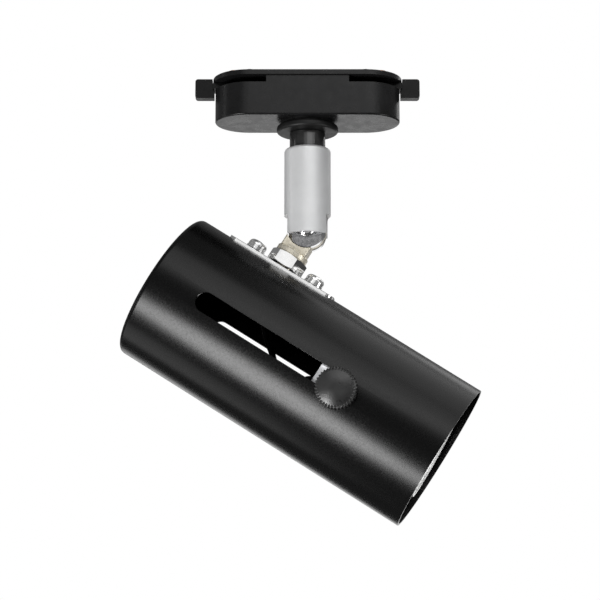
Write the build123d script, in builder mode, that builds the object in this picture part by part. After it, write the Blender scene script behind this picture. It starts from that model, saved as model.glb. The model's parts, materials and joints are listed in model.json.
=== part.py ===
from build123d import *
import os
from math import cos, radians, sqrt, tan

# Track spotlight with a zoom carriage: a stadium-shaped track adapter, a short stem with a
# pan bearing and a tilt swivel, and a tube can that holds a reflector lamp on a slide.
#
# Millimetres. The origin is the centre of the adapter's track face, on the pan axis. +X runs
# along the track and +Z up into it. The rest pose has the can turned by pan_rest and aimed
# tilt_rest below the horizontal.

# ---- pose at rest
pan_rest = 3.3            # the can's plane is turned this far from the track's line, degrees
tilt_rest = 32.6          # the can aims this far below the horizontal, degrees
roll_rest = 3.4           # the carriage hangs this far round in the play of its slots, degrees
lamp_droop = 3.0          # the lamp sits this far out of line in its holder, degrees

# ---- clearances
run = 0.06                # radial gap of a turning fit
slack = 0.3               # gap between pieces that pass each other
free = 0.2                # radial gap of a clearance hole
seat = 0.05               # radial gap of a thread or a plugged hole in the same body
thread_end = 1.0          # a screw stands this far out of its nut

# ---- driving slots in screw heads
drive_wid = 1.0
drive_depth = 1.2
plate_drive = 5.4
guide_drive = 5.0

# ---- track adapter
adapter_len = 92.0
adapter_wid = 34.0
adapter_h = 22.8          # lid included
lid_t = 2.5
lid_over = 1.15           # the lid's lip stands out past the housing
lid_rib_t = 1.6
pad_wid = 15.0            # guide pads round the rotors enter the track's slot
pad_len = 23.5
pad_h = 1.8
lid_edge_r = 0.5
adapter_wall = 1.8
adapter_floor = 2.4
adapter_edge_r = 0.8
post_r = 3.0              # posts that take the lid's screws
post_x = 14.0
post_y = 12.6
lid_screw_r = 1.4
lid_screw_len = 9.0
lid_screw_head_r = 2.7
lid_drive = 2.6           # across the cross recess

# ---- locking levers and track contacts
lever_slot_h = 3.6        # height of the slot that the lever sweeps, right under the lid
lever_slot_end = 20.4     # the slot's square inner end, from the middle
arm_wid = 9.0
tab_wid = 5.2
tab_len = 9.5             # along the arm
tab_gap = 0.55            # finger tab to the housing's end
tab_corner = 1.4
tab_top = 0.4             # below the track face
tab_bottom = 10.2         # below the track face
rotor_r = 6.0
rotor_bottom = 12.0       # below the track face
spigot_r = 2.5
spigot_len = 7.5
bush_r = 4.6
wing_len = 19.0           # insulated wing that turns under the track's lips
wing_wid = 8.0
wing_t = 1.4
blade_len = 21.0
blade_wid = 6.0
blade_t = 0.8
cap_r = 2.2
cap_t = 0.8
spring_wid = 6.0
spring_t = 0.8
spring_foot = 6.0
lead_r = 1.2              # one insulated conductor
lead_gap = 2.7            # between the centres of a pair
lead_tuck = 2.0           # into the knuckle's bore

# ---- pan bearing and stem
nipple_r = 5.0            # M10 hollow nipple
nipple_bore = 3.2
nipple_top = 12.0         # below the track face
thin_nut_af = 14.0
thin_nut_t = 3.0
pan_washer_r = 8.5
pan_washer_t = 0.6
rosette_r = 15.3
rosette_t = 3.5
rosette_boss_r = 13.3
rosette_boss_h = 1.5
rosette_edge_r = 1.2
neck_r = 8.85
neck_h = 8.4
sleeve_r = 11.5
sleeve_wall = 1.8
sleeve_top = 2.0
sleeve_edge_r = 1.8
neck_edge = 0.5
sleeve_len = 44.0
pivot_rise = 2.5          # pivot above the sleeve's lower rim
notch_up = 7.5            # the side notches reach this far above the pivot
notch_wid = 12.6
notch_corner = 1.5

# ---- tilt swivel
lug_flat = 6.4            # half the fork's thickness across its flats
tongue_t = 6.0
pivot_bolt_r = 2.5
pivot_head_r = 4.25
pivot_head_h = 2.3
pivot_head_edge = 1.5
pivot_nut_af = 8.0
pivot_nut_t = 2.1
knuckle_wid = 13.8
knuckle_t = 12.0
knuckle_reach = 12.65     # pivot to the collar's upper face
collar_r = 8.4
collar_t = 2.9
knuckle_nut_af = 17.0
knuckle_nut_t = 6.4

# ---- can
can_d = 76.2
can_len = 161.0
can_wall = 1.2
can_edge_r = 2.5
foot_station = 46.4       # the knuckle stands this far from the can's rear end
slot_wid = 10.0
slot_rear = 25.6          # the slot's rear end, from the can's rear end
slot_front = 110.5

# ---- mounting plate
plate_len = 59.3
plate_wid = 20.0
plate_t = 1.2
plate_corner = 4.0
plate_screw_x = 16.8      # each side of the knuckle
plate_screw_r = 2.5
plate_head_r = 4.75
plate_head_h = 3.7
plate_head_edge = 2.2
plate_washer_r = 5.0
plate_washer_t = 1.0
plate_nut_af = 8.0
plate_nut_t = 4.0

# ---- carriage, from the can's rear end along its axis
bracket_station = 93.0
bracket_arm = 25.0        # length of the arms
bracket_t = 1.5
bracket_half = 12.0       # half the height of the strip
bracket_bore = 4.0        # hole for the holder's leads
clamp_station = 105.5     # knob and guide screw
clamp_nut_af = 8.0
clamp_nut_t = 4.0
stud_r = 2.42
nut_bore = 2.5
guide_head_r = 4.5
guide_head_h = 2.6
guide_head_edge = 1.5
guide_washer_r = 7.0
guide_washer_t = 1.0
holder_r = 15.5
holder_len = 15.5
holder_flat = 13.0        # half the holder's height across its flats
holder_screw_x = 11.5
holder_screw_r = 1.5
holder_head_r = 2.8
holder_head_h = 2.0
holder_nut_af = 5.5
holder_nut_t = 2.4
lamp_r = 25.0
lamp_len = 47.8
lamp_gap = 0.8            # lamp's base to the holder's face
lamp_neck_r = 9.5
lamp_neck_len = 9.0
lamp_rim = 5.5
lamp_step = 0.8           # the rim stands out past the reflector
lamp_waist = 5.2          # inside the lamp's radius, halfway up the reflector
lens_inset = 1.8
lens_t = 1.2
pin_gap = 10.0
pin_len = 6.5
pin_r = 1.4
pin_head_r = 2.4
pin_head_t = 2.2

# ---- clamping knob
knob_r = 10.0
knob_h = 8.6
knob_dome = 2.4
knob_flutes = 40
flute_r = 0.42
knob_washer_r = 7.5
knob_washer_t = 1.0

# ---- levels and planes worked out from the sizes above
floor_z = adapter_floor - adapter_h
lever_x = (adapter_len - adapter_wid) / 2
wing_z = pad_h + slack
arm_top = -lid_t - slack
arm_bottom = -lid_t - lever_slot_h + slack
neck_top = -adapter_h - rosette_boss_h - rosette_t
sleeve_z = neck_top - neck_h
sleeve_bottom = sleeve_z - sleeve_len
pivot_drop = -sleeve_bottom - pivot_rise    # pivot below the track face
fork_r = sleeve_r - sleeve_wall - 2 * seat
notch_z = notch_up - pivot_drop
can_r = can_d / 2
can_in = can_r - can_wall
plate_top_r = can_r + plate_t
axis_drop = knuckle_reach + collar_t + knuckle_nut_t + plate_top_r    # pivot to can axis

ahead = Vector(1, 0, 0).rotate(Axis.Z, -pan_rest)
side = Vector(0, 1, 0).rotate(Axis.Z, -pan_rest)
aim = Vector(1, 0, 0).rotate(Axis.Y, tilt_rest).rotate(Axis.Z, -pan_rest)
up = aim.cross(side)
pivot = Vector(0, 0, -pivot_drop)
can_rear = pivot - aim * foot_station - up * axis_drop
roll_side = side.rotate(Axis((0, 0, 0), aim), roll_rest)
lamp_aim = aim.rotate(Axis((0, 0, 0), roll_side), -lamp_droop)

stem_hinge = Plane(origin=pivot, x_dir=ahead, z_dir=-side)      # x ahead, y up
head_hinge = Plane(origin=pivot, x_dir=aim, z_dir=-side)        # x along the can, y away from it
head_top = Plane(origin=pivot, x_dir=aim, z_dir=up)             # stacks up on the knuckle's axis
can_axis = Plane(origin=can_rear, x_dir=side, z_dir=aim)        # sections across the can
can_side = Plane(origin=can_rear, x_dir=aim, z_dir=-side)       # x is the station along the can
car_axis = Plane(origin=can_rear, x_dir=roll_side, z_dir=aim)
car_side = Plane(origin=can_rear, x_dir=aim, z_dir=-roll_side)
holder_front = bracket_station + bracket_t + holder_len
lamp_base = Plane(origin=can_rear + aim * (holder_front + lamp_gap), x_dir=roll_side, z_dir=lamp_aim)


def chord_seat(radius, half):
    """Distance from the axis at which a flat of this half width rests inside a tube."""
    return sqrt(radius ** 2 - half ** 2)


def corner(across_flats):
    """Corner radius of a hexagon."""
    return across_flats / 2 / cos(radians(30))


def save(part, name):
    part.label = name
    export_step(part, f"parts/{name}.step")


os.makedirs("parts", exist_ok=True)

# ---- adapter housing: moulded tub, open on top, with a sweep slot round each end
with BuildPart() as adapter_housing:
    with BuildSketch(Plane.XY.offset(-adapter_h)):
        SlotOverall(adapter_len, adapter_wid)
    extrude(amount=adapter_h - lid_t)
    fillet(adapter_housing.faces().sort_by(Axis.Z)[0].edges(), adapter_edge_r)
    with BuildSketch(Plane.XY.offset(floor_z)):
        SlotOverall(adapter_len - 2 * adapter_wall, adapter_wid - 2 * adapter_wall)
    extrude(amount=-floor_z - lid_t, mode=Mode.SUBTRACT)
    with BuildSketch(Plane.XY.offset(floor_z)):
        with GridLocations(2 * post_x, 2 * post_y, 2, 2):
            Circle(post_r)
        with GridLocations(2 * post_x, 2 * post_y, 2, 2):
            Circle(lid_screw_r + seat, mode=Mode.SUBTRACT)
    extrude(amount=-floor_z - lid_t)
    with BuildSketch(Plane.XY.offset(floor_z)):
        with GridLocations(2 * lever_x, 0, 2, 1):
            Circle(bush_r)
        with GridLocations(2 * lever_x, 0, 2, 1):
            Circle(spigot_r + run, mode=Mode.SUBTRACT)
    extrude(amount=-rotor_bottom - floor_z)
    with BuildSketch(Plane.XY.offset(-adapter_h)):
        Circle(nipple_r + run)
    extrude(amount=adapter_floor, mode=Mode.SUBTRACT)
    slot_x = (adapter_len / 2 + slack + lever_slot_end) / 2
    slot_len = adapter_len / 2 + slack - lever_slot_end
    slot_back = arm_wid / 2 + 2 * slack
    with BuildSketch(Plane.XY.offset(-lid_t - lever_slot_h)):
        with Locations((-slot_x, slot_back), (slot_x, slot_back)):
            Rectangle(slot_len, adapter_wid, align=(Align.CENTER, Align.MAX))
        SlotOverall(adapter_len - 2 * adapter_wall, adapter_wid - 2 * adapter_wall, mode=Mode.SUBTRACT)
    extrude(amount=lever_slot_h, mode=Mode.SUBTRACT)
save(adapter_housing.part, "adapter_housing")

# ---- adapter lid: the track face, with a bearing for each lever's rotor
rib_y = adapter_wid / 2 - adapter_wall - slack - lid_rib_t / 2
rib_len = 2 * (post_x - post_r - slack)
lid_sink_r = lid_screw_head_r + 2 * seat
with BuildPart() as adapter_lid:
    with BuildSketch(Plane.XY.offset(-lid_t)):
        SlotOverall(adapter_len + 2 * lid_over, adapter_wid + 2 * lid_over)
    extrude(amount=lid_t)
    fillet(adapter_lid.faces().sort_by(Axis.Z)[-1].edges(), lid_edge_r)
    with BuildSketch(Plane.XY):
        with Locations((-lever_x, 0), (lever_x, 0)):
            SlotOverall(pad_len, pad_wid)
    extrude(amount=pad_h)
    chamfer(adapter_lid.faces().group_by(Axis.Z)[-1].edges(), lid_edge_r)
    with BuildSketch(Plane.XY.offset(-lid_t)):
        with Locations((0, rib_y), (0, -rib_y)):
            Rectangle(rib_len, lid_rib_t)
    extrude(amount=-adapter_wall)
    with Locations((-lever_x, 0, pad_h), (lever_x, 0, pad_h)):
        Hole(rotor_r + run, depth=pad_h + lid_t)
    with GridLocations(2 * post_x, 2 * post_y, 2, 2):
        CounterSinkHole(lid_screw_r + 2 * seat, lid_sink_r, depth=lid_t + slack, counter_sink_angle=90)
save(adapter_lid.part, "adapter_lid")

# ---- lid screws: four countersunk screws with cross recesses
with BuildPart() as lid_screws:
    with BuildSketch(Plane.XY.offset(-seat)):
        with GridLocations(2 * post_x, 2 * post_y, 2, 2):
            Circle(lid_screw_head_r)
    extrude(amount=lid_screw_r - lid_screw_head_r, taper=45)
    with BuildSketch(Plane.XY.offset(-seat)):
        with GridLocations(2 * post_x, 2 * post_y, 2, 2):
            Circle(lid_screw_r)
    extrude(amount=-lid_screw_len)
    with BuildSketch(Plane.XY.offset(-seat)):
        with GridLocations(2 * post_x, 2 * post_y, 2, 2):
            Rectangle(lid_drive, lid_drive / 4)
        with GridLocations(2 * post_x, 2 * post_y, 2, 2):
            Rectangle(lid_drive / 4, lid_drive)
    extrude(amount=-lid_drive / 3, mode=Mode.SUBTRACT)
save(lid_screws.part, "lid_screws")


# ---- locking levers: rotor, arm through the slot, finger tab, and wings on the track side
def locking_lever(way):
    """One lever; way is -1 for the left end and +1 for the right."""
    hub = Plane(origin=(way * lever_x, 0, 0), x_dir=(way, 0, 0), z_dir=(0, 0, 1))
    profile = Plane(origin=(way * lever_x, 0, 0), x_dir=(way, 0, 0), z_dir=(0, -way, 0))
    tab_in = adapter_wid / 2 + tab_gap
    lid_clear = adapter_wid / 2 + lid_over + slack
    with BuildPart() as lever:
        with BuildSketch(profile) as outline:
            with Locations((tab_in, -tab_bottom)):
                Rectangle(tab_len, tab_bottom - tab_top, align=(Align.MIN, Align.MIN))
            fillet(outline.vertices().group_by(Axis.X)[-1], tab_corner)
            with Locations((tab_in, arm_top)):
                Rectangle(lid_clear - tab_in, lid_t, align=(Align.MIN, Align.MIN), mode=Mode.SUBTRACT)
        extrude(amount=tab_wid / 2, both=True)
        with BuildSketch(hub.offset(arm_bottom)):
            Rectangle(tab_in + tab_gap, arm_wid, align=(Align.MIN, Align.CENTER))
        extrude(amount=arm_top - arm_bottom)
        with BuildSketch(hub.offset(-rotor_bottom)):
            Circle(rotor_r)
        extrude(amount=rotor_bottom + wing_z)
        with BuildSketch(hub.offset(-rotor_bottom - spigot_len)):
            Circle(spigot_r)
        extrude(amount=spigot_len)
        with BuildSketch(hub.offset(wing_z)):
            SlotOverall(wing_len, wing_wid)
        extrude(amount=wing_t)
        with BuildSketch(hub.offset(wing_z + wing_t)):
            Circle(cap_r)
        extrude(amount=blade_t + cap_t)
    return lever.part


def track_contact(way):
    """Copper blade held under the rotor's cap."""
    hub = Plane(origin=(way * lever_x, 0, 0), x_dir=(way, 0, 0), z_dir=(0, 0, 1))
    with BuildPart() as blade:
        with BuildSketch(hub.offset(wing_z + wing_t)):
            SlotOverall(blade_len, blade_wid)
            Circle(cap_r + seat, mode=Mode.SUBTRACT)
        extrude(amount=blade_t)
    return blade.part


def contact_spring(way):
    """Bronze strip that presses on the rotor and takes a lead at its foot."""
    hub = Plane(origin=(way * lever_x, rotor_r + slack, floor_z))
    with BuildPart() as spring:
        with BuildSketch(hub):
            Rectangle(spring_wid, spring_foot, align=(Align.CENTER, Align.MIN))
        extrude(amount=spring_t)
        with BuildSketch(hub):
            Rectangle(spring_wid, spring_t, align=(Align.CENTER, Align.MIN))
        extrude(amount=-rotor_bottom - floor_z + 4)
    return spring.part


for way, end in ((-1, "left"), (1, "right")):
    save(locking_lever(way), f"lever_{end}")
    save(track_contact(way), f"contact_{end}")
    save(contact_spring(way), f"contact_spring_{end}")

# ---- adapter leads: from each spring's foot into the hollow nipple
lead_y = rotor_r + slack + lead_r
with BuildPart() as adapter_leads:
    for way in (-1, 1):
        foot = (way * (lever_x - spring_wid / 2 - 0.1), lead_y, floor_z + lead_r + spring_t)
        bend = (way * (nipple_r + lead_r + 4), lead_y, floor_z + lead_r + spring_t)
        rise = (way * (nipple_r + lead_r), nipple_r, -nipple_top + 5)
        over = (way * lead_gap / 2, 0, -nipple_top + 5)
        into = (way * lead_gap / 2, 0, -nipple_top - 3)
        with BuildLine():
            run_line = FilletPolyline(foot, bend, rise, over, into, radius=2.4)
        with BuildSketch(Plane(origin=foot, z_dir=run_line % 0)):
            Circle(lead_r)
        sweep()
save(adapter_leads.part, "adapter_leads")

# ---- pan bearing: rosette under the housing, and the nipple with its washer and thin nut
with BuildPart() as rosette:
    with BuildSketch(Plane.XY.offset(neck_top)):
        Circle(rosette_r)
    extrude(amount=rosette_t)
    fillet(rosette.edges(), rosette_edge_r)
    with BuildSketch(Plane.XY.offset(neck_top + rosette_t)):
        Circle(rosette_boss_r)
    extrude(amount=rosette_boss_h)
    with Locations((0, 0, neck_top)):
        Hole(nipple_r + run)
save(rosette.part, "rosette")

nipple_bottom = sleeve_z - sleeve_top - 8
with BuildPart() as stem_nipple:
    with BuildSketch(Plane.XY.offset(nipple_bottom)):
        Circle(nipple_r)
        Circle(nipple_bore, mode=Mode.SUBTRACT)
    extrude(amount=-nipple_top - nipple_bottom)
save(stem_nipple.part, "stem_nipple")

with BuildPart() as pan_washer:
    with BuildSketch(Plane.XY.offset(floor_z)):
        Circle(pan_washer_r)
        Circle(nipple_r + seat, mode=Mode.SUBTRACT)
    extrude(amount=pan_washer_t)
save(pan_washer.part, "pan_washer")

with BuildPart() as pan_nut:
    with BuildSketch(Plane.XY.offset(floor_z + pan_washer_t)):
        RegularPolygon(corner(thin_nut_af), 6)
        Circle(nipple_r + seat, mode=Mode.SUBTRACT)
    extrude(amount=thin_nut_t)
save(pan_nut.part, "pan_nut")

# ---- stem: polished neck and satin sleeve, notched on both sides for the swivel's swing
with BuildPart() as stem_neck:
    with BuildSketch(Plane.XY.offset(sleeve_z)):
        Circle(neck_r)
    extrude(amount=neck_h)
    chamfer(stem_neck.faces().sort_by(Axis.Z)[-1].edges(), neck_edge)
    with Locations((0, 0, sleeve_z)):
        Hole(nipple_r + seat)
save(stem_neck.part, "stem_neck")

with BuildPart() as stem_sleeve:
    with BuildSketch(Plane.XY.offset(sleeve_bottom)):
        Circle(sleeve_r)
    extrude(amount=sleeve_len)
    fillet(stem_sleeve.faces().sort_by(Axis.Z)[-1].edges(), sleeve_edge_r)
    with BuildSketch(Plane.XY.offset(sleeve_bottom)):
        Circle(sleeve_r - sleeve_wall)
    extrude(amount=sleeve_len - sleeve_top, mode=Mode.SUBTRACT)
    with Locations((0, 0, sleeve_z)):
        Hole(nipple_r + seat)
    with BuildSketch(Plane(origin=(0, 0, notch_z), x_dir=side, z_dir=ahead)) as notch:
        with Locations((0, 0)):
            Rectangle(notch_wid, notch_z - sleeve_bottom, align=(Align.CENTER, Align.MAX))
        fillet(notch.vertices().group_by(Axis.Y)[-1], notch_corner)
    extrude(amount=sleeve_r, both=True, mode=Mode.SUBTRACT)
save(stem_sleeve.part, "stem_sleeve")

# ---- swivel fork: plugs the sleeve, ends in two rounded lugs
fork_top = sleeve_z - sleeve_top
with BuildPart() as swivel_fork:
    with BuildSketch(Plane.XY.offset(-pivot_drop - fork_r)):
        Circle(fork_r)
    extrude(amount=fork_top + pivot_drop + fork_r)
    with BuildSketch(stem_hinge):
        Circle(fork_r)
        with Locations((0, notch_up)):
            Rectangle(2 * fork_r, fork_top - notch_z, align=(Align.CENTER, Align.MIN))
    extrude(amount=fork_r, both=True, mode=Mode.INTERSECT)
    for face_side in (-1, 1):
        with BuildSketch(stem_hinge.offset(face_side * lug_flat)):
            Rectangle(2 * fork_r + 1, 2 * fork_r, align=(Align.CENTER, Align.CENTER))
        extrude(amount=face_side * fork_r, mode=Mode.SUBTRACT)
    with BuildSketch(stem_hinge):
        with Locations((0, fork_r + slack)):
            Rectangle(2 * fork_r + 1, 3 * fork_r, align=(Align.CENTER, Align.MAX))
    extrude(amount=tongue_t / 2 + slack / 2, both=True, mode=Mode.SUBTRACT)
    with BuildSketch(stem_hinge):
        Circle(pivot_bolt_r + seat)
    extrude(amount=fork_r, both=True, mode=Mode.SUBTRACT)
    with BuildSketch(Plane.XY.offset(fork_top)):
        Circle(nipple_r + seat)
    extrude(amount=nipple_bottom - fork_top, mode=Mode.SUBTRACT)
    with BuildSketch(Plane.XY.offset(nipple_bottom)):
        Circle(nipple_bore)
    extrude(amount=fork_r + slack - pivot_drop - nipple_bottom, mode=Mode.SUBTRACT)
save(swivel_fork.part, "swivel_fork")

# ---- pivot bolt: domed head in front, nut behind, both inside the sleeve
with BuildPart() as pivot_bolt:
    with BuildSketch(stem_hinge.offset(-lug_flat - pivot_nut_t)):
        Circle(pivot_bolt_r)
    extrude(amount=2 * lug_flat + pivot_nut_t)
    with BuildSketch(stem_hinge.offset(lug_flat)):
        Circle(pivot_head_r)
    extrude(amount=pivot_head_h)
    fillet(pivot_bolt.faces().sort_by(Axis(pivot, -side))[-1].edges(), pivot_head_edge)
    with BuildSketch(stem_hinge.offset(lug_flat + pivot_head_h)):
        Rectangle(2 * pivot_head_r, drive_wid, rotation=35)
    extrude(amount=-drive_depth, mode=Mode.SUBTRACT)
save(pivot_bolt.part, "pivot_bolt")

with BuildPart() as pivot_nut:
    with BuildSketch(stem_hinge.offset(-lug_flat)):
        RegularPolygon(corner(pivot_nut_af), 6, rotation=30)
        Circle(pivot_bolt_r + seat, mode=Mode.SUBTRACT)
    extrude(amount=-pivot_nut_t)
save(pivot_nut.part, "pivot_nut")

# ---- swivel knuckle: tongue between the lugs, shouldered block, collar and hollow shank
tongue_r = fork_r - slack
shoulder_r = fork_r + slack
nut_seat = chord_seat(can_in, corner(thin_nut_af))
shank_end = axis_drop - nut_seat + thin_nut_t + thread_end
with BuildPart() as swivel_knuckle:
    with BuildSketch(head_top.offset(-knuckle_reach - collar_t)):
        Circle(collar_r)
    extrude(amount=collar_t)
    chamfer(swivel_knuckle.edges(), 0.4)
    with BuildSketch(head_hinge):
        Rectangle(knuckle_wid, knuckle_reach, align=(Align.CENTER, Align.MAX))
        Circle(shoulder_r, mode=Mode.SUBTRACT)
    extrude(amount=knuckle_t / 2, both=True)
    fillet(swivel_knuckle.edges().filter_by(Axis(pivot, up)), 1.0)
    with BuildSketch(head_hinge):
        Circle(tongue_r)
        Rectangle(knuckle_wid - 2, knuckle_reach, align=(Align.CENTER, Align.MAX))
    extrude(amount=tongue_t / 2, both=True)
    with BuildSketch(head_top.offset(-shank_end)):
        Circle(nipple_r)
    extrude(amount=shank_end - knuckle_reach - collar_t)
    with BuildSketch(head_top.offset(-shank_end)):
        Circle(nipple_bore)
    extrude(amount=shank_end - knuckle_reach + 1, mode=Mode.SUBTRACT)
    with BuildSketch(head_hinge):
        Circle(pivot_bolt_r + run)
    extrude(amount=knuckle_t, both=True, mode=Mode.SUBTRACT)
save(swivel_knuckle.part, "swivel_knuckle")


# ---- nuts on the knuckle's axis
def hex_nut(plane, across_flats, thickness, bore, edge):
    """Hexagon nut standing on a plane, with its corners turned down at both ends."""
    with BuildPart() as nut:
        with BuildSketch(plane):
            Circle(corner(across_flats))
        extrude(amount=thickness)
        chamfer(nut.edges(), edge, corner(across_flats) - across_flats / 2)
        with BuildSketch(plane):
            RegularPolygon(corner(across_flats), 6)
            Circle(bore, mode=Mode.SUBTRACT)
        extrude(amount=thickness, mode=Mode.INTERSECT)
    return nut.part


save(hex_nut(head_top.offset(plate_top_r - axis_drop), knuckle_nut_af, knuckle_nut_t,
             nipple_r + seat, 0.6), "knuckle_nut")
save(hex_nut(head_top.offset(nut_seat - thin_nut_t - axis_drop), thin_nut_af, thin_nut_t,
             nipple_r + seat, 0.4), "knuckle_lock_nut")

# ---- mounting plate: a strip rolled to the can, with rounded corners
with BuildPart() as mounting_plate:
    with BuildSketch(head_top.offset(can_r - plate_wid / 2 - axis_drop)):
        RectangleRounded(plate_len, plate_wid, plate_corner)
        with Locations((-plate_screw_x, 0), (plate_screw_x, 0)):
            Circle(plate_screw_r + free, mode=Mode.SUBTRACT)
        Circle(nipple_r + free, mode=Mode.SUBTRACT)
    extrude(amount=plate_wid)
    with BuildSketch(can_axis):
        Circle(plate_top_r)
        Circle(can_r, mode=Mode.SUBTRACT)
    extrude(amount=can_len, mode=Mode.INTERSECT)
save(mounting_plate.part, "mounting_plate")

# ---- plate screws, washers and nuts
washer_level = plate_top_r - axis_drop
head_level = washer_level + plate_washer_t
screw_nut_seat = chord_seat(can_in, corner(plate_nut_af)) - axis_drop
screw_spots = ((-plate_screw_x, 0), (plate_screw_x, 0))
with BuildPart() as plate_washers:
    with BuildSketch(head_top.offset(washer_level)):
        with Locations(*screw_spots):
            Circle(plate_washer_r)
        with Locations(*screw_spots):
            Circle(plate_screw_r + seat, mode=Mode.SUBTRACT)
    extrude(amount=plate_washer_t)
save(plate_washers.part, "plate_washers")

screw_tip = screw_nut_seat - plate_nut_t - thread_end
with BuildPart() as plate_screws:
    with BuildSketch(head_top.offset(screw_tip)):
        with Locations(*screw_spots):
            Circle(plate_screw_r)
    extrude(amount=head_level - screw_tip)
    with BuildSketch(head_top.offset(head_level)):
        with Locations(*screw_spots):
            Circle(plate_head_r)
    extrude(amount=plate_head_h)
    fillet(plate_screws.faces().group_by(Axis(pivot, up))[-1].edges(), plate_head_edge)
    with BuildSketch(head_top.offset(head_level + plate_head_h)):
        with Locations(*screw_spots):
            Rectangle(plate_drive, drive_wid, rotation=20)
            Rectangle(drive_wid, plate_drive, rotation=20)
    extrude(amount=-drive_depth, mode=Mode.SUBTRACT)
save(plate_screws.part, "plate_screws")

with BuildPart() as plate_nuts:
    with BuildSketch(head_top.offset(screw_nut_seat - plate_nut_t)):
        with Locations(*screw_spots):
            RegularPolygon(corner(plate_nut_af), 6)
        with Locations(*screw_spots):
            Circle(plate_screw_r + seat, mode=Mode.SUBTRACT)
    extrude(amount=plate_nut_t)
save(plate_nuts.part, "plate_nuts")

# ---- can: drawn tube with a closed, round-edged rear end and a slot on each side
with BuildPart() as can:
    with BuildSketch(can_axis):
        Circle(can_r)
    extrude(amount=can_len)
    fillet(can.faces().sort_by(Axis(can_rear, aim))[0].edges(), can_edge_r)
    with BuildSketch(can_axis.offset(can_wall)):
        Circle(can_in)
    extrude(amount=can_len, mode=Mode.SUBTRACT)
    with BuildSketch(can_side):
        with Locations(((slot_rear + slot_front) / 2, 0)):
            SlotOverall(slot_front - slot_rear, slot_wid)
    extrude(amount=can_d, both=True, mode=Mode.SUBTRACT)
    with BuildSketch(head_top.offset(can_r - axis_drop)):
        Circle(nipple_r + free)
        with Locations(*screw_spots):
            Circle(plate_screw_r + free)
    extrude(amount=-can_r / 2, mode=Mode.SUBTRACT)
save(can.part, "can")

# ---- carriage bracket: a strip across the can with its ends turned forward along the wall
arm_out = can_in - slack
with BuildPart() as carriage_bracket:
    with BuildSketch(car_axis.offset(bracket_station)):
        Circle(arm_out)
        Rectangle(can_d, 2 * bracket_half, mode=Mode.INTERSECT)
    extrude(amount=bracket_arm)
    with BuildSketch(car_axis.offset(bracket_station + bracket_t)):
        Circle(arm_out - bracket_t)
    extrude(amount=bracket_arm, mode=Mode.SUBTRACT)
    with BuildSketch(car_axis.offset(bracket_station)):
        Circle(bracket_bore)
        with Locations((-holder_screw_x, 0), (holder_screw_x, 0)):
            Circle(holder_screw_r + free)
    extrude(amount=bracket_t, mode=Mode.SUBTRACT)
    with BuildSketch(car_side):
        with Locations((clamp_station, 0)):
            Circle(stud_r + free)
    extrude(amount=can_d, both=True, mode=Mode.SUBTRACT)
save(carriage_bracket.part, "carriage_bracket")

# ---- clamp nut on the near arm; guide screw, washer and nut on the far one
clamp_seat = chord_seat(arm_out - bracket_t, corner(clamp_nut_af))
near_nut = car_side.offset(clamp_seat - clamp_nut_t).shift_origin(
    car_side.offset(clamp_seat - clamp_nut_t).from_local_coords((clamp_station, 0, 0)))
far_nut = car_side.offset(-clamp_seat).shift_origin(
    car_side.offset(-clamp_seat).from_local_coords((clamp_station, 0, 0)))
save(hex_nut(near_nut, clamp_nut_af, clamp_nut_t, nut_bore, 0.4), "clamp_nut")
save(hex_nut(far_nut, clamp_nut_af, clamp_nut_t, nut_bore, 0.4), "guide_nut")

washer_d = can_r + slack / 3
with BuildPart() as guide_washer:
    with BuildSketch(car_side.offset(-washer_d)):
        with Locations((clamp_station, 0)):
            Circle(guide_washer_r)
            Circle(nut_bore, mode=Mode.SUBTRACT)
    extrude(amount=-guide_washer_t)
save(guide_washer.part, "guide_washer")

with BuildPart() as guide_screw:
    with BuildSketch(car_side.offset(-washer_d - guide_washer_t)):
        with Locations((clamp_station, 0)):
            Circle(guide_head_r)
    extrude(amount=-guide_head_h)
    fillet(guide_screw.faces().sort_by(Axis(can_rear, roll_side))[-1].edges(), guide_head_edge)
    with BuildSketch(car_side.offset(-washer_d - guide_washer_t)):
        with Locations((clamp_station, 0)):
            Circle(stud_r)
    extrude(amount=washer_d + guide_washer_t - clamp_seat + clamp_nut_t + thread_end)
    with BuildSketch(car_side.offset(-washer_d - guide_washer_t - guide_head_h)):
        with Locations((clamp_station, 0)):
            Rectangle(guide_drive, drive_wid)
            Rectangle(drive_wid, guide_drive)
    extrude(amount=drive_depth, mode=Mode.SUBTRACT)
save(guide_screw.part, "guide_screw")

# ---- lampholder: ceramic disc with keyhole sockets for the lamp's pins
holder_base = car_axis.offset(bracket_station + bracket_t)
with BuildPart() as lampholder:
    with BuildSketch(holder_base):
        Circle(holder_r)
        Rectangle(2 * holder_r, 2 * holder_flat, mode=Mode.INTERSECT)
    extrude(amount=holder_len)
    chamfer(lampholder.faces().sort_by(Axis(can_rear, aim))[-1].edges(), 0.8)
    with BuildSketch(holder_base.offset(holder_len)):
        with Locations((-pin_gap / 2, 0), (pin_gap / 2, 0)):
            Circle(pin_head_r + 0.5)
    extrude(amount=-pin_len - 2.5, mode=Mode.SUBTRACT)
    with BuildSketch(holder_base):
        with Locations((-holder_screw_x, 0), (holder_screw_x, 0)):
            Circle(holder_screw_r + free)
    extrude(amount=holder_len, mode=Mode.SUBTRACT)
    with BuildSketch(holder_base.offset(holder_len)):
        with Locations((-holder_screw_x, 0), (holder_screw_x, 0)):
            Circle(holder_head_r + free)
    extrude(amount=-holder_len / 2, mode=Mode.SUBTRACT)
save(lampholder.part, "lampholder")

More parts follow.
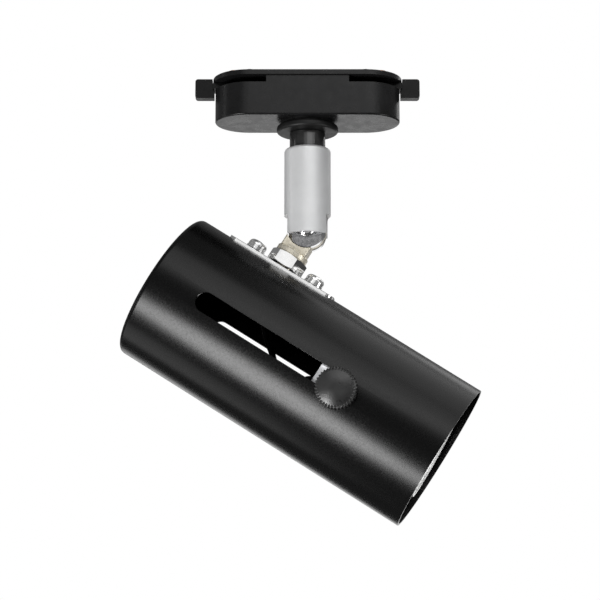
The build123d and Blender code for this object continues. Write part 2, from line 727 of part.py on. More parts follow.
with BuildPart() as holder_screws:
    spots = ((-holder_screw_x, 0), (holder_screw_x, 0))
    with BuildSketch(holder_base.offset(holder_len / 2)):
        with Locations(*spots):
            Circle(holder_head_r)
    extrude(amount=holder_head_h)
    with BuildSketch(holder_base.offset(holder_len / 2)):
        with Locations(*spots):
            Circle(holder_screw_r)
    extrude(amount=-holder_len / 2 - bracket_t - holder_nut_t - thread_end)
save(holder_screws.part, "holder_screws")

with BuildPart() as holder_nuts:
    with BuildSketch(car_axis.offset(bracket_station)):
        with Locations(*spots):
            RegularPolygon(corner(holder_nut_af), 6)
        with Locations(*spots):
            Circle(holder_screw_r + seat, mode=Mode.SUBTRACT)
    extrude(amount=-holder_nut_t)
save(holder_nuts.part, "holder_nuts")

# ---- reflector lamp: body, front lens and the two twist-lock pins
with BuildPart() as lamp_body:
    with BuildSketch(Plane(origin=lamp_base.origin, x_dir=lamp_base.x_dir,
                           z_dir=-lamp_base.y_dir)):
        with BuildLine():
            Polyline((0, 0), (lamp_neck_r, 0), (lamp_neck_r, lamp_neck_len))
            ThreePointArc((lamp_neck_r, lamp_neck_len), (lamp_r - lamp_waist, lamp_len * 0.55),
                          (lamp_r - lamp_step, lamp_len - lamp_rim))
            Polyline((lamp_r - lamp_step, lamp_len - lamp_rim), (lamp_r, lamp_len - lamp_rim),
                     (lamp_r, lamp_len), (lamp_r - lens_inset, lamp_len),
                     (lamp_r - lens_inset, lamp_len - lens_inset), (0, lamp_len - lens_inset), (0, 0))
        make_face()
    revolve(axis=Axis(lamp_base.origin, lamp_base.z_dir))
save(lamp_body.part, "lamp_body")

with BuildPart() as lamp_lens:
    with BuildSketch(lamp_base.offset(lamp_len - lens_inset)):
        Circle(lamp_r - lens_inset - seat)
    extrude(amount=lens_t)
    fillet(lamp_lens.faces().sort_by(Axis(lamp_base.origin, lamp_base.z_dir))[-1].edges(), 0.5)
save(lamp_lens.part, "lamp_lens")

with BuildPart() as lamp_pins:
    pin_spots = ((-pin_gap / 2, 0), (pin_gap / 2, 0))
    with BuildSketch(lamp_base):
        with Locations(*pin_spots):
            Circle(pin_r)
    extrude(amount=-pin_len)
    with BuildSketch(lamp_base.offset(-pin_len)):
        with Locations(*pin_spots):
            Circle(pin_head_r)
    extrude(amount=pin_head_t)
save(lamp_pins.part, "lamp_pins")

# ---- holder leads: two sleeved conductors from the knuckle's bore to the holder's back
lead_reach = bracket_station - foot_station
lead_stations = [foot_station + lead_reach * part for part in (0, 0.01, 0.27, 0.59, 0.82, 0.87)]
lead_stations.append(bracket_station + bracket_t)
lead_heights = [can_r * part for part in (0.5, 0.13, -0.19, -0.19, 0.025, 0.025)]
lead_heights.insert(0, axis_drop - shank_end + lead_tuck)
with BuildPart() as holder_leads:
    for way in (-1, 1):
        shift = side * (way * lead_gap / 2)
        route = [can_side.from_local_coords((x, y, 0)) + shift for x, y in zip(lead_stations, lead_heights)]
        runs = [route[i + 1] - route[i] for i in range(len(route) - 1)]
        arcs = []
        for before, after in zip(runs, runs[1:]):
            turn = before.get_angle(after)
            arcs.append(0.45 * min(before.length, after.length) / tan(radians(turn / 2)))
        with BuildLine():
            lead_line = FilletPolyline(*route, radius=arcs)
        with BuildSketch(Plane(origin=route[0], z_dir=lead_line % 0)):
            Circle(lead_r)
        sweep()
save(holder_leads.part, "holder_leads")

# ---- clamping knob: fluted, domed head on a threaded stud, with a nylon washer
knob_face = car_side.offset(washer_d + knob_washer_t)
with BuildPart() as knob:
    with BuildSketch(knob_face):
        with Locations((clamp_station, 0)):
            Circle(knob_r)
    extrude(amount=knob_h)
    fillet(knob.faces().sort_by(Axis(can_rear, -roll_side))[-1].edges(), knob_dome)
    with BuildSketch(knob_face):
        with Locations((clamp_station, 0)):
            with PolarLocations(knob_r + flute_r / 3, knob_flutes):
                Circle(flute_r)
    extrude(amount=knob_h, mode=Mode.SUBTRACT)
save(knob.part, "knob")

with BuildPart() as knob_washer:
    with BuildSketch(car_side.offset(washer_d)):
        with Locations((clamp_station, 0)):
            Circle(knob_washer_r)
            Circle(stud_r + seat, mode=Mode.SUBTRACT)
    extrude(amount=knob_washer_t)
save(knob_washer.part, "knob_washer")

with BuildPart() as knob_stud:
    with BuildSketch(car_side.offset(clamp_seat - clamp_nut_t - thread_end)):
        with Locations((clamp_station, 0)):
            Circle(stud_r)
    extrude(amount=washer_d + knob_washer_t - clamp_seat + clamp_nut_t + thread_end)
save(knob_stud.part, "knob_stud")
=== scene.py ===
# Track spotlight, dressed: a twist-lock adapter, a panning stem with a tilt swivel, and a tube
# can whose lamp slides on a carriage. The sections follow the fixture as it is put together,
# from the track down to the clamping knob, and the lamps, floor and surround come last.
import json
import math

import bpy
import numpy as np
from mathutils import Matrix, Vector


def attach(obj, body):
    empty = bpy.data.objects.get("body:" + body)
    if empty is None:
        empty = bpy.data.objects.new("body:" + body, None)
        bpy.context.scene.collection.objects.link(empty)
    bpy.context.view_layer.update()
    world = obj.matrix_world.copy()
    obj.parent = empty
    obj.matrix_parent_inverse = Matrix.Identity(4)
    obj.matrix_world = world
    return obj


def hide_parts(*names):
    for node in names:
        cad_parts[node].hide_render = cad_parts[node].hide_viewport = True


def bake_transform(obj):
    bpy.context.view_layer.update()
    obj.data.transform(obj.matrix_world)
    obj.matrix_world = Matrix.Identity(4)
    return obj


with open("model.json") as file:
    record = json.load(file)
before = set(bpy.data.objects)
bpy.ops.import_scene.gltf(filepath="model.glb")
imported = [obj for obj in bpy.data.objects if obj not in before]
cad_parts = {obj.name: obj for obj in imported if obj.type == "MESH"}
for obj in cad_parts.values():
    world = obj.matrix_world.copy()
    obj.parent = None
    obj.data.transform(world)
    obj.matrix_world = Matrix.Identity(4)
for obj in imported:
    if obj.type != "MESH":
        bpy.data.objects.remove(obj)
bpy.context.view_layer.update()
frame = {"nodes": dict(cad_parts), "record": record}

# ---- Camera
# A long lens, a metre in front of the fixture and below it, looks up by about 11 degrees, so
# that the adapter's underside shows.
camera_at = (-0.00373, -1.0, -0.3147)
camera_rise = 11.43
camera_data = bpy.data.cameras.new("camera")
camera_data.lens = 124.77
camera_data.sensor_width = 36.0
camera_data.clip_start = 0.01
camera = bpy.data.objects.new("camera", camera_data)
camera.location = camera_at
camera.rotation_euler = (math.radians(90 + camera_rise), 0, 0)
bpy.context.scene.collection.objects.link(camera)
bpy.context.scene.camera = camera


# ---- Adapter housing and lid
# A tub and a flat lid of black glass-filled nylon, injection moulded: satin walls with a fine
# spark-eroded grain and a little flow mottling.
def start_material(name, **values):
    """A material with one Principled shader; values set that shader's plain sockets."""
    material = bpy.data.materials.new(name)
    material.use_nodes = True
    tree = material.node_tree
    shader = tree.nodes["Principled BSDF"]
    for socket, value in values.items():
        shader.inputs[socket.replace("_", " ")].default_value = value
    return material, tree, shader


def noise(tree, scale, detail, roughness=0.55, stretch=(1, 1, 1)):
    """Noise on Object coordinates, in features per metre; stretch draws it out along x, y and z."""
    place = tree.nodes.new("ShaderNodeTexCoord")
    mapping = tree.nodes.new("ShaderNodeMapping")
    mapping.vector_type = "TEXTURE"
    mapping.inputs["Scale"].default_value = stretch
    texture = tree.nodes.new("ShaderNodeTexNoise")
    texture.inputs["Scale"].default_value = scale
    texture.inputs["Detail"].default_value = detail
    texture.inputs["Roughness"].default_value = roughness
    tree.links.new(place.outputs["Object"], mapping.inputs["Vector"])
    tree.links.new(mapping.outputs["Vector"], texture.inputs["Vector"])
    return texture.outputs["Fac"]


def spread(tree, source, low, high, start=0.3, end=0.7):
    """Maps a source that runs from start to end onto a number from low to high."""
    span = tree.nodes.new("ShaderNodeMapRange")
    for socket, value in (("From Min", start), ("From Max", end), ("To Min", low), ("To Max", high)):
        span.inputs[socket].default_value = value
    tree.links.new(source, span.inputs["Value"])
    return span.outputs["Result"]


def colours(tree, source, dark, light, start=0.3, end=0.7):
    """Runs from a dark to a light colour as the source runs from start to end."""
    ramp = tree.nodes.new("ShaderNodeValToRGB")
    ramp.color_ramp.elements[0].position = start
    ramp.color_ramp.elements[0].color = (*dark, 1)
    ramp.color_ramp.elements[1].position = end
    ramp.color_ramp.elements[1].color = (*light, 1)
    tree.links.new(source, ramp.inputs["Fac"])
    return ramp.outputs["Color"]


def bumps(tree, shader, *layers):
    """Chains bump layers, each a height source and its depth in metres, into the shader's normal."""
    normal = None
    for height, depth in layers:
        bump = tree.nodes.new("ShaderNodeBump")
        bump.inputs["Distance"].default_value = depth
        tree.links.new(height, bump.inputs["Height"])
        if normal is not None:
            tree.links.new(normal, bump.inputs["Normal"])
        normal = bump.outputs["Normal"]
    tree.links.new(normal, shader.inputs["Normal"])


def dress(material, *names):
    """Gives CAD nodes a material in all their slots."""
    for name in names:
        mesh = frame["nodes"][name].data
        mesh.materials.clear()
        mesh.materials.append(material)


def moulded_plastic(name, dark, light, roughness, grain_depth, sheen=0.3):
    """Moulded plastic: colour and gloss in patches, and a fine eroded grain over shallow waves.

    The roughness is its low and high end, and the grain's depth is in metres."""
    material, tree, shader = start_material(name, IOR=1.5, Specular_IOR_Level=sheen)
    flow_marks = noise(tree, scale=60, detail=4)
    gloss_patches = noise(tree, scale=240, detail=3)
    grain = noise(tree, scale=3200, detail=2)
    waves = noise(tree, scale=90, detail=2)
    tree.links.new(colours(tree, flow_marks, dark, light), shader.inputs["Base Color"])
    tree.links.new(spread(tree, gloss_patches, *roughness), shader.inputs["Roughness"])
    bumps(tree, shader, (grain, grain_depth), (waves, grain_depth * 2))
    return material


housing_plastic = moulded_plastic("housing_plastic", dark=(0.006, 0.006, 0.0062),
                                  light=(0.01, 0.01, 0.0103), roughness=(0.24, 0.34),
                                  grain_depth=6e-6, sheen=0.22)
dress(housing_plastic, "adapter_housing", "adapter_lid")

# ---- Locking levers
# Two black acetal levers, each moulded in one with its finger tab, its rotor and the wing that
# turns under the track's lip. They are caught between the housing and the lid, and are a little
# darker and duller than both.
lever_plastic = moulded_plastic("lever_plastic", dark=(0.002, 0.002, 0.002), light=(0.004, 0.004, 0.004),
                                roughness=(0.3, 0.42), grain_depth=8e-6, sheen=0.16)
dress(lever_plastic, "lever_left", "lever_right")


# ---- Contacts and springs
# Stamped copper blades and bronze springs, with rolled grain and warmer, duller patches where
# they have tarnished.
def worked_metal(name, dark, light, roughness, grain_depth, stretch=(1, 1, 1), metallic=1.0):
    """Bare or plated metal: stained colour, uneven gloss, and a grain that may be drawn out.

    The roughness is its low and high end, and the grain's depth is in metres."""
    material, tree, shader = start_material(name, Metallic=metallic)
    stains = noise(tree, scale=130, detail=4)
    gloss_patches = noise(tree, scale=500, detail=4, stretch=stretch)
    grain = noise(tree, scale=2500, detail=3, stretch=stretch)
    tree.links.new(colours(tree, stains, dark, light), shader.inputs["Base Color"])
    tree.links.new(spread(tree, gloss_patches, *roughness), shader.inputs["Roughness"])
    bumps(tree, shader, (grain, grain_depth))
    return material


contact_copper = worked_metal("contact_copper", dark=(0.46, 0.2, 0.1), light=(0.75, 0.4, 0.24),
                              roughness=(0.22, 0.4), grain_depth=4e-6, stretch=(6, 1, 1))
dress(contact_copper, "contact_left", "contact_right", "contact_spring_left", "contact_spring_right")

# ---- Lid screws and the small steel of the adapter
# Four countersunk screws, the hollow threaded nipple, its nut and spring washer: turned or
# stamped steel, zinc plated, bright with a faint bluish passivation.
bright_zinc = worked_metal("bright_zinc", dark=(0.72, 0.73, 0.75), light=(0.86, 0.87, 0.89),
                           roughness=(0.14, 0.28), grain_depth=1e-6, metallic=0.6)
dress(bright_zinc, "lid_screws", "pan_washer", "pan_nut", "stem_nipple")

# ---- Rosette
# A turned disc with a boss, painted satin black. It covers the nipple's hole under the housing
# and doesn't turn with the stem.
rosette_paint = moulded_plastic("rosette_paint", dark=(0.005, 0.005, 0.005), light=(0.009, 0.009, 0.009),
                                roughness=(0.4, 0.5), grain_depth=5e-6, sheen=0.25)
dress(rosette_paint, "rosette")

# ---- Stem neck
# A polished chrome collar that fills the step between the rosette and the sleeve. Its near-black
# colour is a painted reflection of the black adapter and rosette above it. It is turned, so its
# gloss runs in fine rings.
chrome_painted_dark_reflection = worked_metal("chrome_painted_dark_reflection", dark=(0.06, 0.06, 0.06), light=(0.09, 0.09, 0.09),
                           roughness=(0.14, 0.2), grain_depth=5e-7, stretch=(1, 1, 0.1), metallic=0.8)
dress(chrome_painted_dark_reflection, "stem_neck")

# ---- Stem sleeve and swivel fork
# A drawn brass tube in satin nickel, with the drawing lines along it and a deep notch on each
# side for the swivel. The fork's two rounded lugs inside it are milled and bright nickel plated.
satin_nickel = worked_metal("satin_nickel", dark=(0.65, 0.655, 0.66), light=(0.7, 0.705, 0.71),
                            roughness=(0.34, 0.42), grain_depth=1e-6, stretch=(0.15, 0.15, 6), metallic=0.3)
dress(satin_nickel, "stem_sleeve")
fork_nickel = worked_metal("fork_nickel", dark=(0.55, 0.55, 0.56), light=(0.7, 0.7, 0.71),
                           roughness=(0.12, 0.22), grain_depth=1e-6)
dress(fork_nickel, "swivel_fork")

# ---- Pivot bolt and nut
# A domed M5 bolt and its nut, chrome plated. They sit inside the sleeve's mouth and pinch the
# knuckle's tongue between the fork's lugs, which is what holds the tilt.
chrome = worked_metal("chrome", dark=(0.78, 0.78, 0.79), light=(0.88, 0.88, 0.88),
                      roughness=(0.05, 0.12), grain_depth=2e-6)
dress(chrome, "pivot_bolt", "pivot_nut")

# ---- Swivel knuckle
# A cast and turned block in cream nickel, yellower than the sleeve, with a hollow threaded
# shank for the leads. A chromed nut over the plate and a thin one in the can hold it.
cream_nickel = worked_metal("cream_nickel", dark=(0.8, 0.74, 0.6), light=(0.92, 0.87, 0.74),
                            roughness=(0.26, 0.38), grain_depth=3e-6, metallic=0.4)
dress(cream_nickel, "swivel_knuckle")
knuckle_chrome = worked_metal("knuckle_chrome", dark=(0.72, 0.72, 0.72), light=(0.95, 0.95, 0.94),
                              roughness=(0.05, 0.16), grain_depth=6e-6)
dress(knuckle_chrome, "knuckle_nut", "knuckle_lock_nut")

# ---- Mounting plate and its screws
# A bright nickel-plated steel strip, rolled to the can's curve. Two domed screws on washers
# pull it down, with their nuts inside the can.
plate_nickel = worked_metal("plate_nickel", dark=(0.82, 0.82, 0.82), light=(0.92, 0.92, 0.91),
                            roughness=(0.07, 0.16), grain_depth=1.5e-6, metallic=0.75)
dress(plate_nickel, "mounting_plate", "plate_screws", "plate_washers", "plate_nuts")


# ---- Can
# A drawn aluminium tube with a closed rear end and a slot on each side, in a satin black powder
# coat: fine orange peel, and a sparkle of grain where light grazes it.
def powder_coat(name):
    """Satin powder coat: near-black, with orange peel under a finer grain."""
    material, tree, shader = start_material(name, IOR=1.5, Specular_IOR_Level=0.25)
    specks = noise(tree, scale=1800, detail=2)
    gloss_patches = noise(tree, scale=900, detail=3)
    orange_peel = noise(tree, scale=650, detail=2)
    grain = noise(tree, scale=3600, detail=2)
    peel_depth = 6e-6
    grain_depth = 2.5e-6
    tree.links.new(colours(tree, specks, dark=(0.0006, 0.0006, 0.0007), light=(0.0016, 0.0016, 0.0016)),
                   shader.inputs["Base Color"])
    tree.links.new(spread(tree, gloss_patches, low=0.24, high=0.3), shader.inputs["Roughness"])
    bumps(tree, shader, (orange_peel, peel_depth), (grain, grain_depth))
    return material


dress(powder_coat("can_coat"), "can")

# ---- Carriage
# A zinc-plated strip bent to a U, with the nuts, washers and screws that hold the lampholder
# and run in the far slot.
dress(bright_zinc, "carriage_bracket", "clamp_nut", "guide_nut", "guide_washer", "guide_screw",
      "holder_screws", "holder_nuts", "lamp_pins")


# ---- Lampholder
# A round block of pressed and fired steatite, unglazed and cream white, with a chalky grain
# and small dark specks. Two screws hold it to the carriage.
def steatite(name):
    """Unglazed ceramic: cream, chalky, with specks."""
    material, tree, shader = start_material(name, Roughness=0.6)
    specks = noise(tree, scale=1500, detail=4, roughness=0.7)
    chalk = noise(tree, scale=2200, detail=3)
    chalk_depth = 1.5e-5
    tree.links.new(colours(tree, specks, dark=(0.62, 0.58, 0.48), light=(0.82, 0.79, 0.71),
                           start=0.25, end=0.45), shader.inputs["Base Color"])
    bumps(tree, shader, (chalk, chalk_depth))
    return material


dress(steatite("steatite"), "lampholder")


# ---- Lamp
# A reflector lamp: a blown glass body, silvered inside, with a pressed and frosted lens sealed
# to its front. It twists into the lampholder on two pins.
def silvered_glass(name):
    """The reflector's silvering seen from outside: pale, a little wavy, fairly glossy."""
    material, tree, shader = start_material(name, Metallic=0.6)
    cloudiness = noise(tree, scale=40, detail=2)
    gloss_patches = noise(tree, scale=200, detail=3)
    waves = noise(tree, scale=120, detail=2)
    wave_depth = 6e-5
    tree.links.new(colours(tree, cloudiness, dark=(0.72, 0.72, 0.72), light=(0.85, 0.85, 0.84)),
                   shader.inputs["Base Color"])
    tree.links.new(spread(tree, gloss_patches, low=0.16, high=0.3), shader.inputs["Roughness"])
    bumps(tree, shader, (waves, wave_depth))
    return material


def frosted_glass(name):
    """Frosted lens: white, a little uneven in gloss, under a clear face."""
    material, tree, shader = start_material(name, IOR=1.5, Coat_Weight=0.4, Coat_Roughness=0.15)
    cloudiness = noise(tree, scale=300, detail=2)
    gloss_patches = noise(tree, scale=700, detail=3)
    waves = noise(tree, scale=420, detail=1)
    wave_depth = 1.5e-5
    tree.links.new(colours(tree, cloudiness, dark=(0.92, 0.92, 0.91), light=(0.97, 0.97, 0.96)),
                   shader.inputs["Base Color"])
    tree.links.new(spread(tree, gloss_patches, low=0.3, high=0.5), shader.inputs["Roughness"])
    bumps(tree, shader, (waves, wave_depth))
    return material


def closed_tube(name, rings, material, body=None):
    """Skins rings of points, an array of (ring, point, 3), with quads from each ring to the next.

    A fan of triangles to the mean of the ring closes each end."""
    count, around, _ = rings.shape
    points = np.vstack([rings.reshape(-1, 3), rings[0].mean(0), rings[-1].mean(0)])
    ring, step = np.meshgrid(np.arange(count - 1), np.arange(around), indexing="ij")
    here = ring * around + step
    beside = ring * around + (step + 1) % around
    quads = np.stack([here, beside, beside + around, here + around], -1).reshape(-1, 4)
    step = np.arange(around)
    last = (count - 1) * around
    first_cap = np.stack([(step + 1) % around, step, np.full(around, count * around)], -1)
    last_cap = np.stack([last + step, last + (step + 1) % around, np.full(around, count * around + 1)], -1)
    mesh = bpy.data.meshes.new(name)
    mesh.from_pydata(points.tolist(), [], quads.tolist() + first_cap.tolist() + last_cap.tolist())
    mesh.polygons.foreach_set("use_smooth", np.ones(len(mesh.polygons), dtype=bool))
    mesh.materials.append(material)
    piece = bpy.data.objects.new(name, mesh)
    bpy.context.scene.collection.objects.link(piece)
    if body:
        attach(piece, body)
    return piece


def disc_frame(name):
    """Centre, axis, radius and thickness of a disc-shaped node.

    The axis is the way in which its vertices spread least."""
    mesh = frame["nodes"][name].data
    points = np.empty(len(mesh.vertices) * 3)
    mesh.vertices.foreach_get("co", points)
    points = points.reshape(-1, 3)
    middle = (points.min(0) + points.max(0)) / 2
    _, _, ways = np.linalg.svd(points - points.mean(0), full_matrices=False)
    axis = ways[2]
    along = (points - middle) @ axis
    centre = middle + axis * (along.max() + along.min()) / 2
    across = points - centre - along[:, None] * axis
    return centre, axis, np.linalg.norm(across, axis=1).max(), along.max() - along.min()


# The lens is a disc on a grid of radius and angle. Its front is a shallow dome with pressed
# prisms on a hexagon lattice: height = foot + rise (1 - q q) + depth |cos a cos b cos c|, where
# q is the share of the radius and a, b, c are phases along three directions 60 degrees apart.
# The prisms fade out before the rim, and the last two rings go down the edge to the back.
joints = {joint["name"]: joint for joint in frame["record"]["behaviour"]["joints"]}
aim = np.array(joints["focus_slide"]["axis"])
lens_centre, lens_axis, lens_r, lens_t = disc_frame("lamp_lens")
lens_axis = lens_axis * np.sign(lens_axis @ aim)
lens_x = np.cross(lens_axis, (0.0, 1.0, 0.0))
lens_x /= np.linalg.norm(lens_x)
lens_y = np.cross(lens_axis, lens_x)
prism_pitch = 0.0026
prism_depth = 0.00018
dome_rise = 0.0003
prism_end = 0.97
prism_fade = 0.04
lens_start = 0.004
lens_rings = 96
lens_spokes = 260
rim_shares = [0.985, 1.0, 1.0, 0.5]
share = np.concatenate([np.linspace(lens_start, prism_end, lens_rings), rim_shares])
turn = np.linspace(0, 2 * np.pi, lens_spokes, endpoint=False)
flat_x = lens_r * share[:, None] * np.cos(turn)
flat_y = lens_r * share[:, None] * np.sin(turn)
phases = [np.pi * (flat_x * np.cos(way) + flat_y * np.sin(way)) / prism_pitch
          for way in np.radians((0, 60, 120))]
prisms = np.abs(np.cos(phases[0]) * np.cos(phases[1]) * np.cos(phases[2]))
fade = np.clip((prism_end - share) / prism_fade, 0, 1)[:, None]
dome_foot = lens_t / 2 - prism_depth - dome_rise
height = dome_foot + dome_rise * (1 - share[:, None] ** 2) + prism_depth * prisms * fade
height[-2:] = -lens_t / 2
lens_skin = (lens_centre + flat_x[..., None] * lens_x + flat_y[..., None] * lens_y
             + height[..., None] * lens_axis)
lens = closed_tube("lens_prisms", lens_skin[::-1], frosted_glass("frosted_glass"), "carriage")
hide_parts("lamp_lens")
dress(silvered_glass("silvered_glass"), "lamp_body")

# ---- Leads
# Two silicone-sleeved conductors, loosely laid up, that drop from the knuckle's bore into the can
# and rise again into the lampholder's back.
lead_rubber = moulded_plastic("lead_rubber", dark=(0.004, 0.004, 0.004), light=(0.009, 0.0088, 0.0085),
                              roughness=(0.36, 0.5), grain_depth=1e-5)
dress(lead_rubber, "adapter_leads", "holder_leads")

# The route is measured from the can's rear centre: stations along its axis and heights above it.
side = np.array(joints["tilt"]["axis"])
up = np.cross(aim, side)
pivot = np.array(joints["tilt"]["pos_m"])
pivot_station = 0.0464
pivot_height = 0.06125
can_rear = pivot - aim * pivot_station - up * pivot_height
lead_stations = np.array([46.4, 46.87, 58.98, 73.89, 84.61, 86.94, 94.4]) / 1000
lead_heights = np.array([34.0, 19.05, 4.95, -7.24, -7.24, 0.95, 0.95]) / 1000
lead_r = 0.0012
lead_gap = 0.0027
lead_steps = 160
lead_spokes = 20
lay_swing = 0.75


def smooth_route(controls, count):
    """A clamped quadratic B-spline through its end points: points and unit tangents.

    Each point is the sum of the controls, weighted by the spline's basis at its parameter, and
    a basis of one degree is blended from two of the degree below."""
    spans = len(controls) - 2
    t = np.linspace(0, spans, count)
    k = np.minimum(t.astype(int), spans - 1)
    knots = np.concatenate([[0, 0], np.arange(spans + 1), [spans, spans]]).astype(float)

    def basis(i, degree):
        """The weight of control i at every parameter."""
        if degree == 0:
            return (i - 2 == k).astype(float)
        rise, fall = knots[i + degree] - knots[i], knots[i + degree + 1] - knots[i + 1]
        value = np.zeros(count)
        if rise:
            value = value + (t - knots[i]) / rise * basis(i, degree - 1)
        if fall:
            value = value + (knots[i + degree + 1] - t) / fall * basis(i + 1, degree - 1)
        return value

    weights = np.stack([basis(i, 2) for i in range(len(controls))], 1)
    points = weights @ controls
    tangents = np.gradient(points, axis=0)
    return points, tangents / np.linalg.norm(tangents, axis=1)[:, None]


# Each strand's ring is centre + r (cos a across + sin a rise), and the strand's centre lies half
# the gap from the route, turned by a lay angle that swings once each way along it.
lead_route = can_rear + lead_stations[:, None] * aim + lead_heights[:, None] * up
lead_centres, lead_tangents = smooth_route(lead_route, lead_steps)
lead_rise = np.cross(lead_tangents, side)
lay = lay_swing * np.sin(np.linspace(0, 2 * np.pi, lead_steps))[:, None] ** 3
spoke = np.linspace(0, 2 * np.pi, lead_spokes, endpoint=False)
for way, end in ((-1, "near"), (1, "far")):
    centres = lead_centres + way * lead_gap / 2 * (np.cos(lay) * side + np.sin(lay) * lead_rise)
    rings = centres[:, None] + lead_r * (np.cos(spoke)[None, :, None] * side
                                         + np.sin(spoke)[None, :, None] * lead_rise[:, None])
    strand = closed_tube("holder_lead_" + end, rings, lead_rubber)
    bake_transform(strand)
    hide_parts("holder_leads")

# ---- Clamping knob
# A black knob with a fluted skirt and a domed face, moulded over the head of a zinc-plated
# stud. A white nylon washer under it keeps it off the can's paint.
knob_plastic = moulded_plastic("knob_plastic", dark=(0.012, 0.012, 0.012), light=(0.026, 0.026, 0.026),
                               roughness=(0.26, 0.34), grain_depth=4e-5, sheen=0.5)

# The knob's grip is a turned profile of radii and heights, in metres from its seat: a straight
# skirt, a rounded edge and a domed face. Flutes cut into it: radius = profile - depth fade
# (1 - cos n a) / 2, where n is their count, a the angle, and the fade dies out on the face.
knob_centre, knob_axis, knob_r, knob_h = disc_frame("knob")
knob_axis = knob_axis * -np.sign(knob_axis @ side)
knob_x = np.cross(knob_axis, (0.0, 0.0, 1.0))
knob_x /= np.linalg.norm(knob_x)
knob_y = np.cross(knob_axis, knob_x)
flute_count = 38
flute_steps = 14
flute_depth = 0.0006
flute_end = 0.82
flute_fade = 0.12
face_rise = 0.0024
face_share = 0.9
face_tip = 0.02
edge_gap = 0.0006
edge_height = 0.0009
skirt_steps = 12
edge_steps = 6
face_steps = 40
face_shares = np.linspace(face_share, face_tip, face_steps)
skirt_h = np.linspace(0.0, knob_h - face_rise - edge_gap, skirt_steps)
edge_turn = np.linspace(0, 1, edge_steps + 2)[1:-1] * np.pi / 2
profile_r = np.concatenate([np.full(skirt_steps, knob_r),
                            knob_r * (face_share + (1 - face_share) * np.cos(edge_turn)),
                            knob_r * face_shares])
profile_h = np.concatenate([skirt_h, skirt_h[-1] + edge_height * np.sin(edge_turn),
                            knob_h - face_rise * face_shares ** 2])
flute_share = np.clip((profile_r / knob_r - flute_end) / flute_fade, 0, 1)[:, None]
spin = np.linspace(0, 2 * np.pi, flute_count * flute_steps, endpoint=False)
grip_r = profile_r[:, None] - flute_depth * flute_share * (1 - np.cos(flute_count * spin)) / 2
grip_rings = (knob_centre - knob_axis * knob_h / 2 + grip_r[..., None] * (
    np.cos(spin)[:, None] * knob_x + np.sin(spin)[:, None] * knob_y)
    + profile_h[:, None, None] * knob_axis)
grip = closed_tube("knob_grip", grip_rings, knob_plastic, "clamp_knob")
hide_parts("knob")
dress(bright_zinc, "knob_stud")
nylon = moulded_plastic("nylon", dark=(0.62, 0.6, 0.54), light=(0.75, 0.73, 0.68),
                        roughness=(0.4, 0.55), grain_depth=1e-5)
dress(nylon, "knob_washer")


# ---- Studio
# Soft lamps round the fixture: keys low on both sides, boxes in front and above, narrow lamps
# for thin lines on the round metal, and weak ones that lift the edges. Three more stand for
# cards held close to single pieces: a panel for the chrome, one for the lens and one for the knob.
def soft_light(name, height, bearing, distance, size, radiance, centre=(0.0, 0.0, -0.14), only=()):
    """An area lamp that faces the centre from a height and a bearing in degrees (-90 is in front).

    Distance and size are in metres. Its power is pi times its area times its radiance, so that
    its face is as bright as the radiance says at any size. Where only lists objects, it shines
    on nothing else."""
    lamp = bpy.data.lights.new(name, "AREA")
    lamp.shape = "RECTANGLE"
    lamp.size, lamp.size_y = size
    lamp.energy = math.pi * size[0] * size[1] * radiance
    holder = bpy.data.objects.new(name, lamp)
    rise, turn = math.radians(height), math.radians(bearing)
    way = Vector((math.cos(rise) * math.cos(turn), math.cos(rise) * math.sin(turn), math.sin(rise)))
    holder.location = Vector(centre) + way * distance
    holder.rotation_euler = way.to_track_quat("Z", "Y").to_euler()
    holder.visible_camera = False
    bpy.context.scene.collection.objects.link(holder)
    if only:
        lit = bpy.data.collections.new(name + "_lit")
        for piece in only:
            lit.objects.link(piece)
        holder.light_linking.receiver_collection = lit


bright_nodes = ("pivot_bolt", "pivot_nut", "knuckle_nut", "mounting_plate", "plate_screws",
                "plate_washers")
soft_light("key_low_left", height=-32, bearing=229, distance=1.0, size=(0.42, 0.42), radiance=18.5)
soft_light("box_above", height=38, bearing=-82, distance=1.1, size=(1.1, 0.6), radiance=1.5)
soft_light("box_front", height=25, bearing=-75, distance=1.0, size=(0.6, 0.3), radiance=1.1)
soft_light("box_near_right", height=66, bearing=0, distance=0.35, size=(0.42, 0.2), radiance=1.3,
           centre=(0.1, -0.03, -0.13))
soft_light("key_low_right", height=-30, bearing=-25, distance=1.0, size=(0.4, 0.4), radiance=6)
soft_light("panel_for_chrome", height=14, bearing=-96, distance=1.0, size=(0.8, 0.34), radiance=0.8,
           only=[frame["nodes"][node] for node in bright_nodes])
soft_light("card_for_lens", height=-38, bearing=-15, distance=1.0, size=(0.5, 0.5), radiance=8, only=[lens])
soft_light("spark_for_knob", height=-9, bearing=-82, distance=1.0, size=(0.16, 0.16), radiance=1.8,
           only=[grip])
soft_light("line_left", height=11, bearing=180, distance=1.0, size=(0.05, 0.5), radiance=4)
soft_light("line_right", height=11, bearing=-48, distance=1.0, size=(0.05, 0.5), radiance=4)
soft_light("edge_left", height=-36, bearing=165, distance=1.0, size=(0.5, 0.5), radiance=1.3)
soft_light("edge_right", height=33, bearing=50, distance=1.0, size=(0.4, 0.4), radiance=1.4)
soft_light("strip_behind", height=-10, bearing=90, distance=1.2, size=(1.4, 0.4), radiance=1.1)


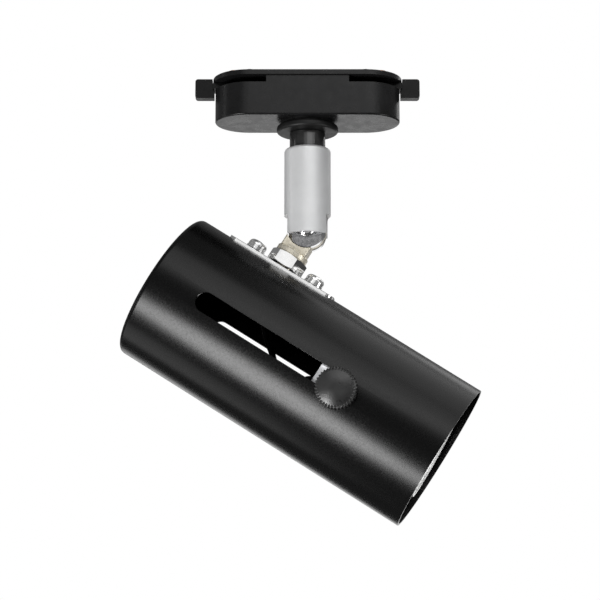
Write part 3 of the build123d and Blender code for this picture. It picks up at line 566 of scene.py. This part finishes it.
# ---- Floor
# A square of pale matt board far below the fixture. It has a glow that the camera alone sees,
# so that it looks pale in every view and the glow puts no light on the fixture.
floor_z = -1.6
floor_size = 12.0
floor_glow = 0.55
floor_mesh = bpy.data.meshes.new("floor")
corner = floor_size / 2
floor_mesh.from_pydata([(-corner, -corner, floor_z), (corner, -corner, floor_z), (corner, corner, floor_z),
                        (-corner, corner, floor_z)], [], [(0, 1, 2, 3)])
floor = bpy.data.objects.new("floor", floor_mesh)
floor_paint, floor_tree, floor_shader = start_material("floor_paint", Base_Color=(0.86, 0.86, 0.86, 1),
                                                       Roughness=0.9)
floor_shader.inputs["Emission Color"].default_value = (1, 1, 1, 1)
floor_ray = floor_tree.nodes.new("ShaderNodeLightPath")
seen_glow = spread(floor_tree, floor_ray.outputs["Is Camera Ray"], low=0.0, high=floor_glow,
                   start=0.0, end=1.0)
floor_tree.links.new(seen_glow, floor_shader.inputs["Emission Strength"])
floor_mesh.materials.append(floor_paint)
bpy.context.scene.collection.objects.link(floor)


# ---- Surround
# White on all sides: at full strength for the camera, fainter for what metal and glass mirror or
# let through, and fainter still as light on the fixture.
surround_strength = 0.05
mirrored_strength = 0.2
world = bpy.data.worlds.new("world")
bpy.context.scene.world = world
world.use_nodes = True
sky = world.node_tree


def white_sky(background, strength):
    """Sets a Background node to plain white at this strength."""
    background.inputs["Color"].default_value = (1, 1, 1, 1)
    background.inputs["Strength"].default_value = strength
    return background.outputs["Background"]


def either_sky(switch, off, on):
    """The first sky where the switch is 0, and the second where it is 1."""
    pick = sky.nodes.new("ShaderNodeMixShader")
    for source, socket in ((switch, pick.inputs["Fac"]), (off, pick.inputs[1]), (on, pick.inputs[2])):
        sky.links.new(source, socket)
    return pick.outputs["Shader"]


lighting = white_sky(sky.nodes["Background"], surround_strength)
mirrored = white_sky(sky.nodes.new("ShaderNodeBackground"), mirrored_strength)
backdrop = white_sky(sky.nodes.new("ShaderNodeBackground"), 1.0)
ray = sky.nodes.new("ShaderNodeLightPath")
shiny = sky.nodes.new("ShaderNodeMath")
shiny.operation = "MAXIMUM"
sky.links.new(ray.outputs["Is Glossy Ray"], shiny.inputs[0])
sky.links.new(ray.outputs["Is Transmission Ray"], shiny.inputs[1])
unseen = either_sky(shiny.outputs["Value"], lighting, mirrored)
whole_sky = either_sky(ray.outputs["Is Camera Ray"], unseen, backdrop)
sky.links.new(whole_sky, sky.nodes["World Output"].inputs["Surface"])
bpy.context.scene.view_settings.view_transform = "Standard"
